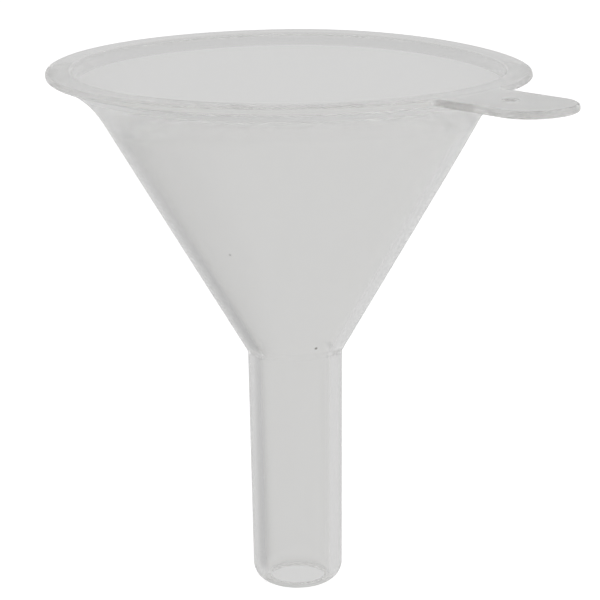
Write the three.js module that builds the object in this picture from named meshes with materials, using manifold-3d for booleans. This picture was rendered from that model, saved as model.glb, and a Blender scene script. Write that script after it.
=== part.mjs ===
// Plain filling funnel, moulded in one piece of translucent polypropylene.
// A 60 degree bowl sweeps out into a flat lip, a short tapered stem hangs below it, and a flat
// tab with a hanging hole reaches out from the lip along +X.
// Millimetres, +Z up. The origin is on the axis where the outside of the bowl meets the stem.

import * as THREE from 'three';
import { mergeVertices } from 'three/addons/utils/BufferGeometryUtils.js';
import Module from 'manifold-3d';

const RIM_RADIUS = 37.5;
const LIP_FLAT_WIDTH = 3.9;
const LIP_EDGE_THICKNESS = 1.1;
const BOWL_HEIGHT = 45.3;
const BOWL_HALF_ANGLE = Math.PI / 6;
const BOWL_WALL = 1.7;
const UNDER_LIP_RADIUS = 15.0;
const STEP_DEPTH = 2.06;
const STEP_FOOT_INSET = 4.4;
const INNER_FLARE_RADIUS = 16.0;

const STEM_LENGTH = 38.5;
const STEM_TOP_RADIUS = 7.45;
const STEM_TIP_RADIUS = 7.15;
const BORE_TIP_RADIUS = 5.1;
const TIP_ROUNDING = 3.0;
const BORE_JUNCTION_ROUND = 2.5;
const OUTER_JUNCTION_ROUND = 2.2;

const TAB_REACH = 55.2;
const TAB_HALF_WIDTH = 6.9;
const TAB_END_LENGTH = 5.7;
const TAB_THICKNESS = 1.1;
const TAB_ROOT_DEPTH = 1.5;
const TAB_HOLE_CENTRE = 45.0;
const TAB_HOLE_RADIUS = 1.2;

const SIDES = 72;
const ARC_STEPS = 7;
const TAB_CURVE_STEPS = 20;
const MERGE_TOLERANCE = 1e-4;

const wasm = await Module();
wasm.setup();

function arc(centre, radius, fromAngle, toAngle) {
  const points = [];
  for (let step = 0; step <= ARC_STEPS; step += 1) {
    const angle = fromAngle + ((toAngle - fromAngle) * step) / ARC_STEPS;
    const spoke = new THREE.Vector2(Math.cos(angle), Math.sin(angle)).multiplyScalar(radius);
    points.push(centre.clone().add(spoke));
  }
  return points;
}

// A round tangent to the lines on both sides of a corner.
function roundedCorner(before, corner, after, radius) {
  const into = corner.clone().sub(before).normalize();
  const out = after.clone().sub(corner).normalize();
  const turn = Math.acos(into.dot(out));
  const side = Math.sign(into.cross(out));
  const start = corner.clone().addScaledVector(into, -radius * Math.tan(turn / 2));
  const spoke = new THREE.Vector2(into.y, -into.x).multiplyScalar(side);
  const centre = start.addScaledVector(spoke, -radius);
  return arc(centre, radius, spoke.angle(), spoke.angle() + side * turn);
}

// A hollow round from end down to the bowl's slope, tangent to the slope that starts at foot.
// Its centre lies one radius out from that slope.
function flare(end, foot, radius) {
  const slope = new THREE.Vector2(Math.sin(BOWL_HALF_ANGLE), Math.cos(BOWL_HALF_ANGLE));
  const outward = new THREE.Vector2(slope.y, -slope.x);
  const offset = end.clone().sub(foot);
  const overhang = offset.dot(outward);
  const rise = Math.sqrt(overhang * (2 * radius - overhang));
  const centre = foot.clone()
    .addScaledVector(slope, offset.dot(slope) - rise)
    .addScaledVector(outward, radius);
  return arc(centre, radius, end.clone().sub(centre).angle(), Math.PI - BOWL_HALF_ANGLE);
}

// The outer edge of the stem's end is rounded off until the round meets the bore.
function roundedTip() {
  const centreRadius = STEM_TIP_RADIUS - TIP_ROUNDING;
  const lastAngle = Math.acos((BORE_TIP_RADIUS - centreRadius) / TIP_ROUNDING);
  const centre = new THREE.Vector2(centreRadius, TIP_ROUNDING * Math.sin(lastAngle) - STEM_LENGTH);
  return arc(centre, TIP_ROUNDING, 0, -lastAngle);
}

function toSolid(geometry) {
  geometry.deleteAttribute('normal');
  geometry.deleteAttribute('uv');
  const merged = mergeVertices(geometry, MERGE_TOLERANCE);
  return new wasm.Manifold(new wasm.Mesh({
    numProp: 3,
    vertProperties: merged.attributes.position.array,
    triVerts: Uint32Array.from(merged.index.array),
  }));
}

function toGeometry(solid) {
  const mesh = solid.getMesh();
  const geometry = new THREE.BufferGeometry();
  geometry.setAttribute('position', new THREE.BufferAttribute(mesh.vertProperties, 3));
  geometry.setIndex(new THREE.BufferAttribute(mesh.triVerts, 1));
  geometry.computeVertexNormals();
  return geometry;
}

// Bowl, lip and stem are one turned wall: up the inside, over the lip and down the outside. The
// wall is measured square to the bowl's slope. Just below the lip the inside has a small step.
function turnedBody() {
  const boreTip = new THREE.Vector2(BORE_TIP_RADIUS, -STEM_LENGTH);
  const boreTop = new THREE.Vector2(STEM_TOP_RADIUS - BOWL_WALL / Math.cos(BOWL_HALF_ANGLE), 0);
  const stepFoot = new THREE.Vector2(RIM_RADIUS - STEP_FOOT_INSET, BOWL_HEIGHT - STEP_DEPTH);
  const stemTop = new THREE.Vector2(STEM_TOP_RADIUS, 0);
  const lipCorner = new THREE.Vector2(RIM_RADIUS, BOWL_HEIGHT - LIP_EDGE_THICKNESS);
  const insideFlare = flare(stepFoot, boreTop, INNER_FLARE_RADIUS).reverse();
  const underLip = flare(lipCorner, stemTop, UNDER_LIP_RADIUS);
  const tip = roundedTip();
  const profile = [
    boreTip,
    ...roundedCorner(boreTip, boreTop, insideFlare[0], BORE_JUNCTION_ROUND),
    ...insideFlare,
    new THREE.Vector2(RIM_RADIUS - LIP_FLAT_WIDTH, BOWL_HEIGHT),
    new THREE.Vector2(RIM_RADIUS, BOWL_HEIGHT),
    ...underLip,
    ...roundedCorner(underLip.at(-1), stemTop, tip[0], OUTER_JUNCTION_ROUND),
    ...tip,
  ];
  const turned = new THREE.LatheGeometry(profile.reverse(), SIDES);
  turned.rotateX(Math.PI / 2);
  return toSolid(turned);
}

// The tab's root is buried in the lip, and its far end is half an ellipse.
function hangingTab() {
  const endStart = TAB_REACH - TAB_END_LENGTH;
  const rootStart = RIM_RADIUS - TAB_ROOT_DEPTH;
  const outline = new THREE.Shape();
  outline.moveTo(rootStart, -TAB_HALF_WIDTH);
  outline.lineTo(endStart, -TAB_HALF_WIDTH);
  outline.absellipse(endStart, 0, TAB_END_LENGTH, TAB_HALF_WIDTH, -Math.PI / 2, Math.PI / 2);
  outline.lineTo(rootStart, TAB_HALF_WIDTH);
  outline.closePath();
  const hole = new THREE.Path();
  hole.absarc(TAB_HOLE_CENTRE, 0, TAB_HOLE_RADIUS, 0, 2 * Math.PI, true);
  outline.holes.push(hole);
  const plate = new THREE.ExtrudeGeometry(outline, {
    depth: TAB_THICKNESS,
    bevelEnabled: false,
    curveSegments: TAB_CURVE_STEPS,
  });
  plate.translate(0, 0, BOWL_HEIGHT - TAB_THICKNESS);
  return toSolid(plate);
}

const naturalPolypropylene = new THREE.MeshStandardMaterial({
  color: 0xdfe1df,
  roughness: 0.35,
  metalness: 0,
});

const funnel = new THREE.Mesh(toGeometry(turnedBody().add(hangingTab())), naturalPolypropylene);
funnel.name = 'funnel';

const object = new THREE.Group();
object.add(funnel);

export default object;
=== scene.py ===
"""Looks of a plain filling funnel in natural polypropylene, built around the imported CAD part.

Metres, in the frame of the CAD part: +Z up along the axis, +X towards the hanging tab, and the
origin on the axis where the outside of the bowl meets the stem.
"""

import itertools
import math

import bpy
from mathutils import Matrix, Vector
from mathutils.geometry import tessellate_polygon


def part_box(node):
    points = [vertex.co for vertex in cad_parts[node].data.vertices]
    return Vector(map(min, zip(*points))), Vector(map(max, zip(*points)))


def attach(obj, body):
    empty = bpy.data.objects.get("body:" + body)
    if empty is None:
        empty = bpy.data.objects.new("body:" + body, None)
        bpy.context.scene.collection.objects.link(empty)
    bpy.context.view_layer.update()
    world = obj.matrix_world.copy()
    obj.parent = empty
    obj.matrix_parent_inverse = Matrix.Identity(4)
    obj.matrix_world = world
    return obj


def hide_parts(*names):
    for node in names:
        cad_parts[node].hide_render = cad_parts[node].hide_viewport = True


MM = 0.001
NODE = "funnel"
BODY = "root"
SLOT = "natural_polypropylene"

# Walls and rounds of the moulding. Its overall sizes come from the CAD node's box. The bowl's
# flare stops the step foot's angle short of the step, to leave room for the foot's round.
LIP_FLAT_WIDTH = 3.9 * MM
STEP_FOOT_INSET = 4.4 * MM
STEP_DEPTH = 2.06 * MM
STEP_TOP_ROUND = 0.6 * MM
STEP_FOOT_ROUND = 0.4 * MM
STEP_FOOT_ANGLE = 0.03
INNER_FLARE_RADIUS = 16.0 * MM
LIP_EDGE_THICKNESS = 1.1 * MM
LIP_TOP_ROUND = 0.5 * MM
LIP_BOTTOM_ROUND = 0.35 * MM
UNDER_LIP_RADIUS = 15.0 * MM
BOWL_HALF_ANGLE = math.radians(30)
BOWL_WALL = 1.7 * MM
STEM_TOP_RADIUS = 7.45 * MM
STEM_TIP_RADIUS = 7.15 * MM
BORE_TIP_RADIUS = 5.1 * MM
TIP_ROUNDING = 3.0 * MM
BORE_JUNCTION_ROUND = 2.5 * MM
OUTER_JUNCTION_ROUND = 0.6 * MM
TAB_HALF_WIDTH = 6.9 * MM
TAB_END_LENGTH = 5.7 * MM
TAB_ROOT_ROUND = 1.2 * MM
TAB_HOLE_CENTRE = 45.0 * MM
TAB_HOLE_RADIUS = 1.2 * MM
TAB_HOLE_ROUND = 0.15 * MM

# The thin rim came out of the mould slightly out of true: it stands a little high, and one side
# is drawn in and down. The warp starts at this share of the bowl's height.
WARP_LIFT = 0.2 * MM
WARP_AZIMUTH = math.radians(65)
WARP_HALF_WIDTH = math.radians(75)
WARP_INWARD = 1.0 * MM
WARP_DOWN = 0.85 * MM
WARP_START = 0.6

# How finely the mesh is cut, and how near two points are taken as one.
JOIN = 0.001 * MM
COLUMNS_AROUND = 288
COLUMNS_AT_TAB = 32
ROUND_STEPS = 6
SWEEP_STEPS = 28
WALL_STEP = 1.2 * MM
STEP_WALL_STEP = 0.3 * MM
OUTLINE_STEPS = 12
END_STEPS = 48
HOLE_STEPS = 48

# Wear, and painted shade along the edges, fade out this far below the lip's top and above the
# stem's end.
# The sharpest edges take this share of the worn tone, which is partly painted shade.
WEAR_AND_SHADE = "wear"
WEAR_AND_SHADE_DEPTH = 1.6 * MM
WEAR_AND_SHADE_SHARE = 0.6

# The plastic's tones, each of which tints the light once at every wall it goes through.
CLOUDED_TONE = (0.948, 0.947, 0.941, 1)
PLAIN_TONE = (0.962, 0.961, 0.955, 1)
STREAK_TONE = (0.925, 0.922, 0.914, 1)
# Painted shade: the tab's darker tone stands in for shade, not for a different plastic.
TAB_SHADE_TONE = (0.85, 0.85, 0.84, 1)
# Partly wear, partly painted shade: it darkens the edges where refraction draws dark lines.
WORN_AND_SHADED_TONE = (0.88, 0.88, 0.868, 1)
SPECK_TONE = (0.12, 0.11, 0.10, 1)

# Where the tab's painted shade starts and where it is full, in millimetres from the axis along the
# tab.
TAB_SHADE_REACH = (38.0, 45.0)

# Noise that varies the plastic, in cycles per millimetre. Flow marks are drawn out along the axis.
# Flow marks and smudges grow from nothing to full between their noise's two limits.
CLOUD_SCALE = 0.08
FLOW_SCALE = 0.9
FLOW_STRETCH = (1.0, 1.0, 0.06)
FLOW_LIMITS = (0.52, 0.72)
FLOW_STRENGTH = 0.35
SATIN_SCALE = 3.0
SMUDGE_SCALE = 0.15
SMUDGE_LIMITS = (0.5, 0.75)
WAVE_SCALE = 0.12
GRAIN_SCALE = 2.5

# Roughness of the plain surface, and what smudges and wear add to it.
SATIN_ROUGHNESS = (0.07, 0.11)
SMUDGE_ROUGHNESS = 0.05
WEAR_ROUGHNESS = 0.12

# Depth and strength of the surface's waves and grain.
WAVE_DEPTH = 0.05 * MM
WAVE_STRENGTH = 0.25
GRAIN_DEPTH = 0.01 * MM
GRAIN_STRENGTH = 0.06

# What polypropylene does to light. Its absorption is per metre.
REFRACTIVE_INDEX = 1.49
MILKINESS = 0.003
DEPTH_TONE = (0.52, 0.50, 0.47, 1)
DEPTH_DENSITY = 1.2

# Dark specks moulded into the surface: place and radius in millimetres.
SPECKS = (
    ((8.3, -3.21, 2.51), 0.3),
    ((5.48, -17.92, 19.55), 0.2),
)

# The camera: distances in multiples of the rim's radius, angles in degrees, lens in millimetres.
CAMERA_AZIMUTH = -42.5
CAMERA_DISTANCE = 8.99
CAMERA_HEIGHT = 1.456
CAMERA_PITCH = -15.24
CAMERA_YAW = 0.15
CAMERA_ROLL = -0.72
CAMERA_LENS = 133.14

# The studio: even light all round, with soft darker patches. Each patch has its direction's azimuth
# and elevation in degrees, the cosines at its rim and at its full strength, and its strength.
STUDIO_LIGHT = 0.69
STUDIO_PATCHES = (
    (190.0, -45.0, 0.75, 1.0, -0.20),
    (215.0, -10.0, 0.0, 0.9, -0.02),
    (137.5, 35.0, 0.72, 0.95, -0.07),
)
BACKDROP_LIGHT = 1.05
LIGHT_BOUNCES = 256
WHITE = (1, 1, 1, 1)

# The floor: half its side in metres, and its paint.
FLOOR_REACH = 4.0
FLOOR_TONE = (0.9, 0.9, 0.9, 1)
FLOOR_ROUGHNESS = 0.9
FLOOR_GLOW = 0.5


def left_of(direction):
    """The direction turned a quarter turn to its left."""
    return Vector((-direction.y, direction.x))


def unit(angle):
    """The unit vector at an angle in the plane."""
    return Vector((math.cos(angle), math.sin(angle)))


def arc(centre, radius, start, end, steps):
    """Points of an arc in the plane, and the unit vectors from its centre to them."""
    spokes = [unit(start + (end - start) * i / steps) for i in range(steps + 1)]
    return [centre + radius * s for s in spokes], spokes


def ramp(value, start, end):
    """0 at start, 1 at end, straight between them and level outside them."""
    return min(1.0, max(0.0, (value - start) / (end - start)))


class Size:
    """The overall sizes, read from the CAD node's box."""

    def __init__(self):
        low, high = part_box(NODE)
        self.rim, self.reach = -low.x, high.x
        self.stem, self.height = -low.z, high.z


class Wall:
    """Collects faces with exact normals at their corners, sharing the vertices they meet at."""

    def __init__(self, size):
        self.size = size
        self.points, self.index, self.faces = [], {}, []
        self.normals, self.wear = [], []

    def vertex(self, point):
        """The vertex at a point. Points less than half a JOIN apart share one."""
        place = [c / JOIN for c in point]
        found = self.index.get(tuple(round(c) for c in place))
        if found is None:
            found = len(self.points)
            self.points.append(point)
            cells = ((math.floor(c), math.floor(c) + 1) for c in place)
            self.index.update((cell, found) for cell in itertools.product(*cells))
        return found

    def wear_at(self, point, normal):
        """1 on the sharpest parts of the lip's, tab's and tip's edges, 0 away from them."""
        # This mask marks wear, and also painted shade: the edges' darker tone stands in for dark
        # refraction lines.
        below_lip = self.size.height - point.z
        above_tip = point.z + self.size.stem
        near = ramp(min(below_lip, above_tip), WEAR_AND_SHADE_DEPTH, 0)
        return near * math.sqrt(max(0.0, 1 - normal.z**2))

    def face(self, points, normals):
        """Adds a face turned to look the way its normals point, unless it has no area."""
        corners = [self.vertex(p) for p in points]
        keep = [i for i, c in enumerate(corners) if c not in corners[:i]]
        if len(keep) < 3:
            return
        first, second, third = (points[i] for i in keep[:3])
        if (second - first).cross(third - first).dot(sum(normals, Vector())) < 0:
            keep.reverse()
        self.faces.append([corners[i] for i in keep])
        self.normals += [normals[i] for i in keep]
        self.wear += [self.wear_at(points[i], normals[i]) for i in keep]

    def band(self, rows):
        """Quads between neighbouring rows of (point, normal)."""
        for row, after in zip(rows, rows[1:]):
            for i in range(len(row) - 1):
                quad = (row[i], row[i + 1], after[i + 1], after[i])
                self.face([q[0] for q in quad], [q[1] for q in quad])

    def sheet(self, loops, normal):
        """A flat face bounded by loops of points, the first one outside."""
        flat = [p for loop in loops for p in loop]
        for triangle in tessellate_polygon(loops):
            self.face([flat[i] for i in triangle], [normal] * 3)

    def mesh(self, name):
        made = bpy.data.meshes.new(name)
        made.from_pydata([warped(p, self.size) for p in self.points], [], self.faces)
        made.shade_smooth()
        wear = made.attributes.new(WEAR_AND_SHADE, "FLOAT", "CORNER")
        wear.data.foreach_set("value", self.wear)
        made.normals_split_custom_set([n.normalized() for n in self.normals])
        return made


def warped(point, size):
    """Where a point of the true shape lies on the slightly uneven moulding."""
    azimuth = math.atan2(point.y, point.x)
    turn = abs(math.remainder(azimuth - WARP_AZIMUTH, 2 * math.pi)) / WARP_HALF_WIDTH
    high = ramp(point.z, WARP_START * size.height, size.height) ** 2
    share = high * math.cos(math.pi / 2 * min(turn, 1)) ** 2
    inward = -WARP_INWARD * share * unit(azimuth)
    return point + Vector((inward.x, inward.y, WARP_LIFT * high - WARP_DOWN * share))


def corner_round(before, corner, after, radius):
    """(point, normal) along a round tangent to both lines at a corner, normals on the left."""
    into, out = (corner - before).normalized(), (after - corner).normalized()
    turn = into.angle(out)
    side = 1 if into.cross(out) > 0 else -1
    start = corner - into * radius * math.tan(turn / 2)
    spoke = left_of(into) * -side
    centre = start - spoke * radius
    angle = math.atan2(spoke.y, spoke.x)
    points, spokes = arc(centre, radius, angle, angle + side * turn, ROUND_STEPS)
    return [(p, s * -side) for p, s in zip(points, spokes)]


def straight(start, end, step=WALL_STEP):
    """(point, normal) from start to end, normals on the left."""
    normal = left_of((end - start).normalized())
    count = max(1, round((end - start).length / step))
    return [(start.lerp(end, i / count), normal) for i in range(count + 1)]


def flare_centre(foot, end, radius):
    """Centre of a hollow round that runs from end onto the bowl's slope through foot."""
    slope = Vector((math.sin(BOWL_HALF_ANGLE), math.cos(BOWL_HALF_ANGLE)))
    outward = -left_of(slope)
    overhang = (end - foot).dot(outward)
    rise = math.sqrt(overhang * (2 * radius - overhang))
    return foot + slope * ((end - foot).dot(slope) - rise) + outward * radius


def inner_profile(size):
    """(point, normal) in the (radius, height) plane, from the tip's edge up to the lip's edge."""
    tip = Vector((BORE_TIP_RADIUS, -size.stem))
    waist = Vector((STEM_TOP_RADIUS - BOWL_WALL / math.cos(BOWL_HALF_ANGLE), 0))
    foot = Vector((size.rim - STEP_FOOT_INSET, size.height - STEP_DEPTH))
    brow = Vector((size.rim - LIP_FLAT_WIDTH, size.height))
    edge = Vector((size.rim - LIP_TOP_ROUND, size.height))
    centre = flare_centre(waist, foot, INNER_FLARE_RADIUS)
    last = math.pi - math.acos((centre.x - foot.x) / INNER_FLARE_RADIUS) + STEP_FOOT_ANGLE
    slope_end = math.pi - BOWL_HALF_ANGLE
    flare = list(zip(*arc(centre, INNER_FLARE_RADIUS, slope_end, last, SWEEP_STEPS)))
    foot_round = corner_round(flare[-1][0], foot, brow, STEP_FOOT_ROUND)
    brow_round = corner_round(foot, brow, edge, STEP_TOP_ROUND)
    waist_round = corner_round(tip, waist, flare[0][0], BORE_JUNCTION_ROUND)
    bore = straight(tip, waist_round[0][0])
    bowl = straight(waist_round[-1][0], flare[0][0])
    step = straight(foot_round[-1][0], brow_round[0][0], STEP_WALL_STEP)
    flat = straight(brow_round[-1][0], edge)
    lower = bore[:-1] + waist_round + bowl[1:-1] + flare
    return lower + foot_round + step[1:-1] + brow_round + flat[1:]


def outer_profile(size):
    """(point, normal) from the lip's lower edge down the outside and round the tip to the bore."""
    waist = Vector((STEM_TOP_RADIUS, 0))
    lip = Vector((size.rim - LIP_BOTTOM_ROUND, size.height - LIP_EDGE_THICKNESS))
    centre = flare_centre(waist, lip, UNDER_LIP_RADIUS)
    first = math.atan2(lip.y - centre.y, lip.x - centre.x)
    slope_end = math.pi - BOWL_HALF_ANGLE
    points, spokes = arc(centre, UNDER_LIP_RADIUS, first, slope_end, SWEEP_STEPS)
    sweep = [(p, -s) for p, s in zip(points, spokes)]
    nose_radius = STEM_TIP_RADIUS - TIP_ROUNDING
    nose_end = math.acos((BORE_TIP_RADIUS - nose_radius) / TIP_ROUNDING)
    nose_centre = Vector((nose_radius, TIP_ROUNDING * math.sin(nose_end) - size.stem))
    nose = list(zip(*arc(nose_centre, TIP_ROUNDING, 0, -nose_end, SWEEP_STEPS)))
    waist_round = corner_round(points[-1], waist, nose[0][0], OUTER_JUNCTION_ROUND)
    bowl = straight(points[-1], waist_round[0][0])
    stem = straight(waist_round[-1][0], nose[0][0])
    return sweep + bowl[1:-1] + waist_round + stem[1:-1] + nose


def turned(profile, angles):
    """One row of (point, normal) around the axis for each point of a profile."""
    spokes = [unit(a) for a in angles]

    def around(at):
        return [Vector((at.x * s.x, at.x * s.y, at.y)) for s in spokes]

    return [list(zip(around(point), around(normal))) for point, normal in profile]


def half_tab_outline(size):
    """(point, normal) in plan along the tab's edge, from the lip's circle to its end's middle."""
    reach = size.rim + TAB_ROOT_ROUND
    across = TAB_HALF_WIDTH + TAB_ROOT_ROUND
    centre = Vector((math.sqrt(reach**2 - across**2), across))
    start = math.atan2(centre.y, centre.x) + math.pi
    points, spokes = arc(centre, TAB_ROOT_ROUND, start, 1.5 * math.pi, OUTLINE_STEPS)
    root = [(p, -s) for p, s in zip(points, spokes)]
    end_start = Vector((size.reach - TAB_END_LENGTH, TAB_HALF_WIDTH))
    end = [(end_start, Vector((0, 1)))]
    for i in range(1, END_STEPS + 1):
        spoke = unit(math.pi / 2 * (1 - i / END_STEPS))
        point = Vector((end_start.x + TAB_END_LENGTH * spoke.x, TAB_HALF_WIDTH * spoke.y))
        normal = Vector((spoke.x * TAB_HALF_WIDTH, spoke.y * TAB_END_LENGTH)).normalized()
        end.append((point, normal))
    return root + end


def mirrored(outline):
    """The same outline on the other side of the tab's middle, walked backwards."""
    flip = Vector((1, -1))
    return [(p * flip, n * flip) for p, n in reversed(outline)]


def edge_profile(size, top_round, bottom_round):
    """(outset, height, normal) across the edge of the lip and tab, from top to underside."""
    bottom = size.height - LIP_EDGE_THICKNESS
    profile = []
    for radius, middle, start in (
        (top_round, size.height - top_round, math.pi / 2),
        (bottom_round, bottom + bottom_round, 0),
    ):
        end = start - math.pi / 2
        points, spokes = arc(Vector((-radius, middle)), radius, start, end, ROUND_STEPS)
        profile += [(p.x, p.y, s) for p, s in zip(points, spokes)]
    return profile


def skirt(outline, profile):
    """Rows of (point, normal) of an edge profile carried along an outline in plan."""
    rows = []
    for outset, height, spoke in profile:
        row = []
        for point, normal in outline:
            at = point + normal * outset
            facing = Vector((normal.x * spoke.x, normal.y * spoke.x, spoke.y))
            row.append((Vector((at.x, at.y, height)), facing))
        rows.append(row)
    return rows


def circle(centre, radius, angles, outward):
    """(point, normal) around a circle in plan; outward is 1 for a rim and -1 for a hole."""
    return [(centre + unit(a) * radius, unit(a) * outward) for a in angles]


def funnel_mesh(size):
    """Bowl, lip, stem and tab as one closed wall."""
    wall = Wall(size)
    half = half_tab_outline(size)
    root = math.atan2(half[0][0].y, half[0][0].x)
    at_tab = [root * (2 * i / COLUMNS_AT_TAB - 1) for i in range(COLUMNS_AT_TAB + 1)]
    column = (2 * math.pi - 2 * root) / COLUMNS_AROUND
    elsewhere = [root + column * i for i in range(COLUMNS_AROUND + 1)]
    inner, outer = inner_profile(size), outer_profile(size)
    wall.band(turned(inner, at_tab + elsewhere[1:]))
    wall.band(turned(outer, at_tab + elsewhere[1:]))
    edge = edge_profile(size, LIP_TOP_ROUND, LIP_BOTTOM_ROUND)
    wall.band(skirt(circle(Vector((0, 0)), size.rim, elsewhere, 1), edge))
    tab_edge = skirt(half + mirrored(half)[1:], edge)
    wall.band(tab_edge)
    hole_angles = [2 * math.pi * i / HOLE_STEPS for i in range(HOLE_STEPS + 1)]
    hole = circle(Vector((TAB_HOLE_CENTRE, 0)), TAB_HOLE_RADIUS, hole_angles, -1)
    hole_edge = skirt(hole, edge_profile(size, TAB_HOLE_ROUND, TAB_HOLE_ROUND))
    wall.band(hole_edge)
    for row, ring, facing in ((0, inner[-1], 1), (-1, outer[0], -1)):
        lip_side = [p for p, _ in turned([ring], at_tab)[0]]
        tab_side = [p for p, _ in tab_edge[row]][1:-1]
        hole_side = [p for p, _ in hole_edge[row]][:-1]
        wall.sheet([lip_side + tab_side, hole_side], Vector((0, 0, facing)))
    return wall.mesh(NODE + "_moulding")


def node(tree, kind, settings=None, **inputs):
    """A shader node with settings on itself, and values or links on its inputs.

    An input is named by its socket, with _ for a space, or by its number after a _.
    """
    made = tree.nodes.new("ShaderNode" + kind)
    for name, value in (settings or {}).items():
        setattr(made, name, value)
    for name, value in inputs.items():
        by_number = name.startswith("_")
        socket = made.inputs[int(name[1:]) if by_number else name.replace("_", " ")]
        if isinstance(value, bpy.types.NodeSocket):
            tree.links.new(value, socket)
        else:
            socket.default_value = value
    return made


def scaled(tree, place, factors):
    """The place stretched along each axis."""
    return node(tree, "VectorMath", {"operation": "MULTIPLY"}, _0=place, _1=factors).outputs[0]


def noise(tree, place, scale, detail=2.0):
    """Smooth noise from 0 to 1; more detail adds finer noise on top."""
    return node(tree, "TexNoise", Vector=place, Scale=scale, Detail=detail).outputs["Fac"]


def between(tree, value, low, high, start=0.0, end=1.0):
    """The value from start..end brought to low..high, level outside."""
    return node(tree, "MapRange", Value=value, _1=start, _2=end, _3=low, _4=high).outputs[0]


def mixed(tree, share, first, second):
    """A colour between two colours or colour sockets."""
    mix = node(tree, "Mix", {"data_type": "RGBA"}, Factor=share, _6=first, _7=second)
    return mix.outputs[2]


def plastic_tone(tree, in_mm, wear):
    """Faintly clouded, faintly warm plastic with flow marks, edges darkened partly by wear and
    partly by painted shade, and dark specks.

    The tab is painted darker than the bowl: painted shade.
    """
    cloud = noise(tree, in_mm, CLOUD_SCALE, detail=3.0)
    tone = mixed(tree, cloud, CLOUDED_TONE, PLAIN_TONE)
    flow = noise(tree, scaled(tree, in_mm, FLOW_STRETCH), FLOW_SCALE)
    streak = between(tree, flow, 0.0, FLOW_STRENGTH, *FLOW_LIMITS)
    tone = mixed(tree, streak, tone, STREAK_TONE)
    along_tab = node(tree, "SeparateXYZ", Vector=in_mm).outputs["X"]
    # Painted shade: the tab is darkened towards its end.
    tab_shade = between(tree, along_tab, 0.0, 1.0, *TAB_SHADE_REACH)
    tone = mixed(tree, tab_shade, tone, TAB_SHADE_TONE)
    # Edges darkened partly as wear and partly as painted shade, standing in for the dark lines
    # refraction draws.
    tone = mixed(tree, between(tree, wear, 0.0, WEAR_AND_SHADE_SHARE), tone, WORN_AND_SHADED_TONE)
    for place, radius in SPECKS:
        away = node(tree, "VectorMath", {"operation": "DISTANCE"}, _0=in_mm, _1=place)
        inside = between(tree, away.outputs["Value"], 1.0, 0.0, 0.5 * radius, radius)
        tone = mixed(tree, inside, tone, SPECK_TONE)
    return tone


def plastic_roughness(tree, in_mm, wear):
    """Satin with a fine grain, smudged by handling and scuffed at the edges."""
    satin = between(tree, noise(tree, in_mm, SATIN_SCALE), *SATIN_ROUGHNESS)
    smudges = noise(tree, in_mm, SMUDGE_SCALE, detail=4.0)
    smudge = between(tree, smudges, 0.0, SMUDGE_ROUGHNESS, *SMUDGE_LIMITS)
    scuff = between(tree, wear, 0.0, WEAR_ROUGHNESS)
    handled = node(tree, "Math", {"operation": "ADD"}, _0=satin, _1=smudge).outputs[0]
    return node(tree, "Math", {"operation": "ADD"}, _0=handled, _1=scuff).outputs[0]


def plastic_bump(tree, in_mm):
    """Slow waves from uneven cooling, under a very fine moulded grain."""
    waves = node(
        tree,
        "Bump",
        Strength=WAVE_STRENGTH,
        Distance=WAVE_DEPTH,
        Height=noise(tree, in_mm, WAVE_SCALE, detail=1.0),
    )
    grain = node(
        tree,
        "Bump",
        Strength=GRAIN_STRENGTH,
        Distance=GRAIN_DEPTH,
        Height=noise(tree, in_mm, GRAIN_SCALE),
        Normal=waves.outputs[0],
    )
    return grain.outputs[0]


def polypropylene():
    """Translucent natural polypropylene with a satin moulded surface."""
    made = bpy.data.materials.new(SLOT)
    made.use_nodes = True
    tree = made.node_tree
    tree.nodes.clear()
    place = node(tree, "TexCoord").outputs["Object"]
    in_mm = scaled(tree, place, (1 / MM,) * 3)
    wear = node(tree, "Attribute", {"attribute_name": WEAR_AND_SHADE}).outputs["Fac"]
    tone = plastic_tone(tree, in_mm, wear)
    bump = plastic_bump(tree, in_mm)
    clear = node(
        tree,
        "BsdfPrincipled",
        Base_Color=tone,
        Roughness=plastic_roughness(tree, in_mm, wear),
        IOR=REFRACTIVE_INDEX,
        Transmission_Weight=1.0,
        Normal=bump,
    )
    milky = node(tree, "BsdfTranslucent", Color=tone, Normal=bump)
    surface = node(tree, "MixShader", _0=MILKINESS, _1=clear.outputs[0], _2=milky.outputs[0])
    depth = node(tree, "VolumeAbsorption", Color=DEPTH_TONE, Density=DEPTH_DENSITY)
    node(tree, "OutputMaterial", Surface=surface.outputs[0], Volume=depth.outputs[0])
    return made


def camera(size):
    """The camera, aimed from one spot by heading, pitch and roll."""
    made = bpy.data.objects.new("camera", bpy.data.cameras.new("camera"))
    bpy.context.collection.objects.link(made)
    made.data.lens = CAMERA_LENS
    away = unit(math.radians(CAMERA_AZIMUTH)).to_3d()
    rise = Vector((0, 0, 1))
    spot = rise * size.height + (away * CAMERA_DISTANCE + rise * CAMERA_HEIGHT) * size.rim
    heading = Matrix.Rotation(-math.radians(CAMERA_YAW), 3, "Z") @ -away
    pitch, roll = math.radians(CAMERA_PITCH), math.radians(CAMERA_ROLL)
    forward = heading * math.cos(pitch) + rise * math.sin(pitch)
    level = forward.cross(rise).normalized()
    above = level.cross(forward)
    right = level * math.cos(roll) + above * math.sin(roll)
    up = right.cross(forward)
    made.matrix_world = Matrix((right, up, -forward)).transposed().to_4x4()
    made.matrix_world.translation = spot
    bpy.context.scene.camera = made


def patch(tree, toward, azimuth, elevation, rim, full, strength):
    """How much a soft patch adds to the studio's light in each direction."""
    level = unit(math.radians(azimuth)) * math.cos(math.radians(elevation))
    middle = (level.x, level.y, math.sin(math.radians(elevation)))
    near = node(tree, "VectorMath", {"operation": "DOT_PRODUCT"}, _0=toward, _1=middle)
    fade = {"interpolation_type": "SMOOTHSTEP"}
    reach = node(tree, "MapRange", fade, Value=near.outputs["Value"], _1=rim, _2=full, _4=strength)
    return reach.outputs[0]


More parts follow.
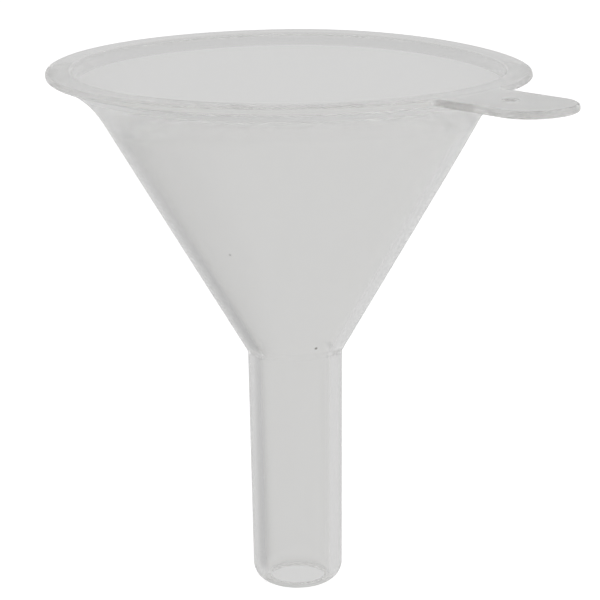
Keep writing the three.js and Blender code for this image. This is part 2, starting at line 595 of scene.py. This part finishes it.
def studio():
    """Soft light from all round, and a brighter plain backdrop that only the camera sees."""
    world = bpy.data.worlds.new("studio")
    bpy.context.scene.world = world
    world.use_nodes = True
    tree = world.node_tree
    tree.nodes.clear()
    toward = node(tree, "TexCoord").outputs["Generated"]
    light = STUDIO_LIGHT
    for values in STUDIO_PATCHES:
        extra = patch(tree, toward, *values)
        light = node(tree, "Math", {"operation": "ADD"}, _0=light, _1=extra).outputs[0]
    seen = node(tree, "LightPath").outputs["Is Camera Ray"]
    around = node(tree, "Background", Color=WHITE, Strength=light).outputs[0]
    backdrop = node(tree, "Background", Color=WHITE, Strength=BACKDROP_LIGHT).outputs[0]
    both = node(tree, "MixShader", _0=seen, _1=around, _2=backdrop).outputs[0]
    node(tree, "OutputWorld", Surface=both)


def light_paths():
    """Light is let through the plastic's many inner reflections without being cut off."""
    bpy.context.scene.view_settings.view_transform = "Standard"
    cycles = bpy.context.scene.cycles
    cycles.blur_glossy = 0.0
    cycles.max_bounces = LIGHT_BOUNCES
    cycles.transmission_bounces = LIGHT_BOUNCES
    cycles.diffuse_bounces = LIGHT_BOUNCES
    cycles.glossy_bounces = LIGHT_BOUNCES


def floor(size):
    """A plain pale floor under the stem's end. It shows shade, but doesn't tint the plastic."""
    mesh = bpy.data.meshes.new("floor")
    across = (-FLOOR_REACH, FLOOR_REACH)
    corners = [(x, y, -size.stem) for x in across for y in across]
    mesh.from_pydata(corners, [], [(0, 2, 3, 1)])
    made = bpy.data.objects.new("floor", mesh)
    bpy.context.collection.objects.link(made)
    paint = bpy.data.materials.new("floor")
    paint.use_nodes = True
    tree = paint.node_tree
    tree.nodes.clear()
    matt = node(
        tree,
        "BsdfPrincipled",
        Base_Color=FLOOR_TONE,
        Roughness=FLOOR_ROUGHNESS,
        Emission_Color=WHITE,
        Emission_Strength=FLOOR_GLOW,
    )
    node(tree, "OutputMaterial", Surface=matt.outputs[0])
    mesh.materials.append(paint)
    made.visible_transmission = False
    made.visible_glossy = False
    made.visible_diffuse = False
    made.visible_shadow = False


def moulded_funnel(size):
    """The one piece of the object, which stands for the CAD node."""
    mesh = funnel_mesh(size)
    mesh.materials.append(polypropylene())
    piece = bpy.data.objects.new("moulded_funnel", mesh)
    bpy.context.collection.objects.link(piece)
    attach(piece, BODY)
    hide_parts(NODE)


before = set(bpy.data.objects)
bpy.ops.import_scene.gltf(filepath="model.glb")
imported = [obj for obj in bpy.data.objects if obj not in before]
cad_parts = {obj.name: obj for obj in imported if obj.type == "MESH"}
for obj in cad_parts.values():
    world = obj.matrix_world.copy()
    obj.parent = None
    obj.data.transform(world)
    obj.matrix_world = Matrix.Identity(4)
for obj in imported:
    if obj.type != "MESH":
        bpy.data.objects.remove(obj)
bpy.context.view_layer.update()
size = Size()
camera(size)
moulded_funnel(size)
studio()
light_paths()
floor(size)
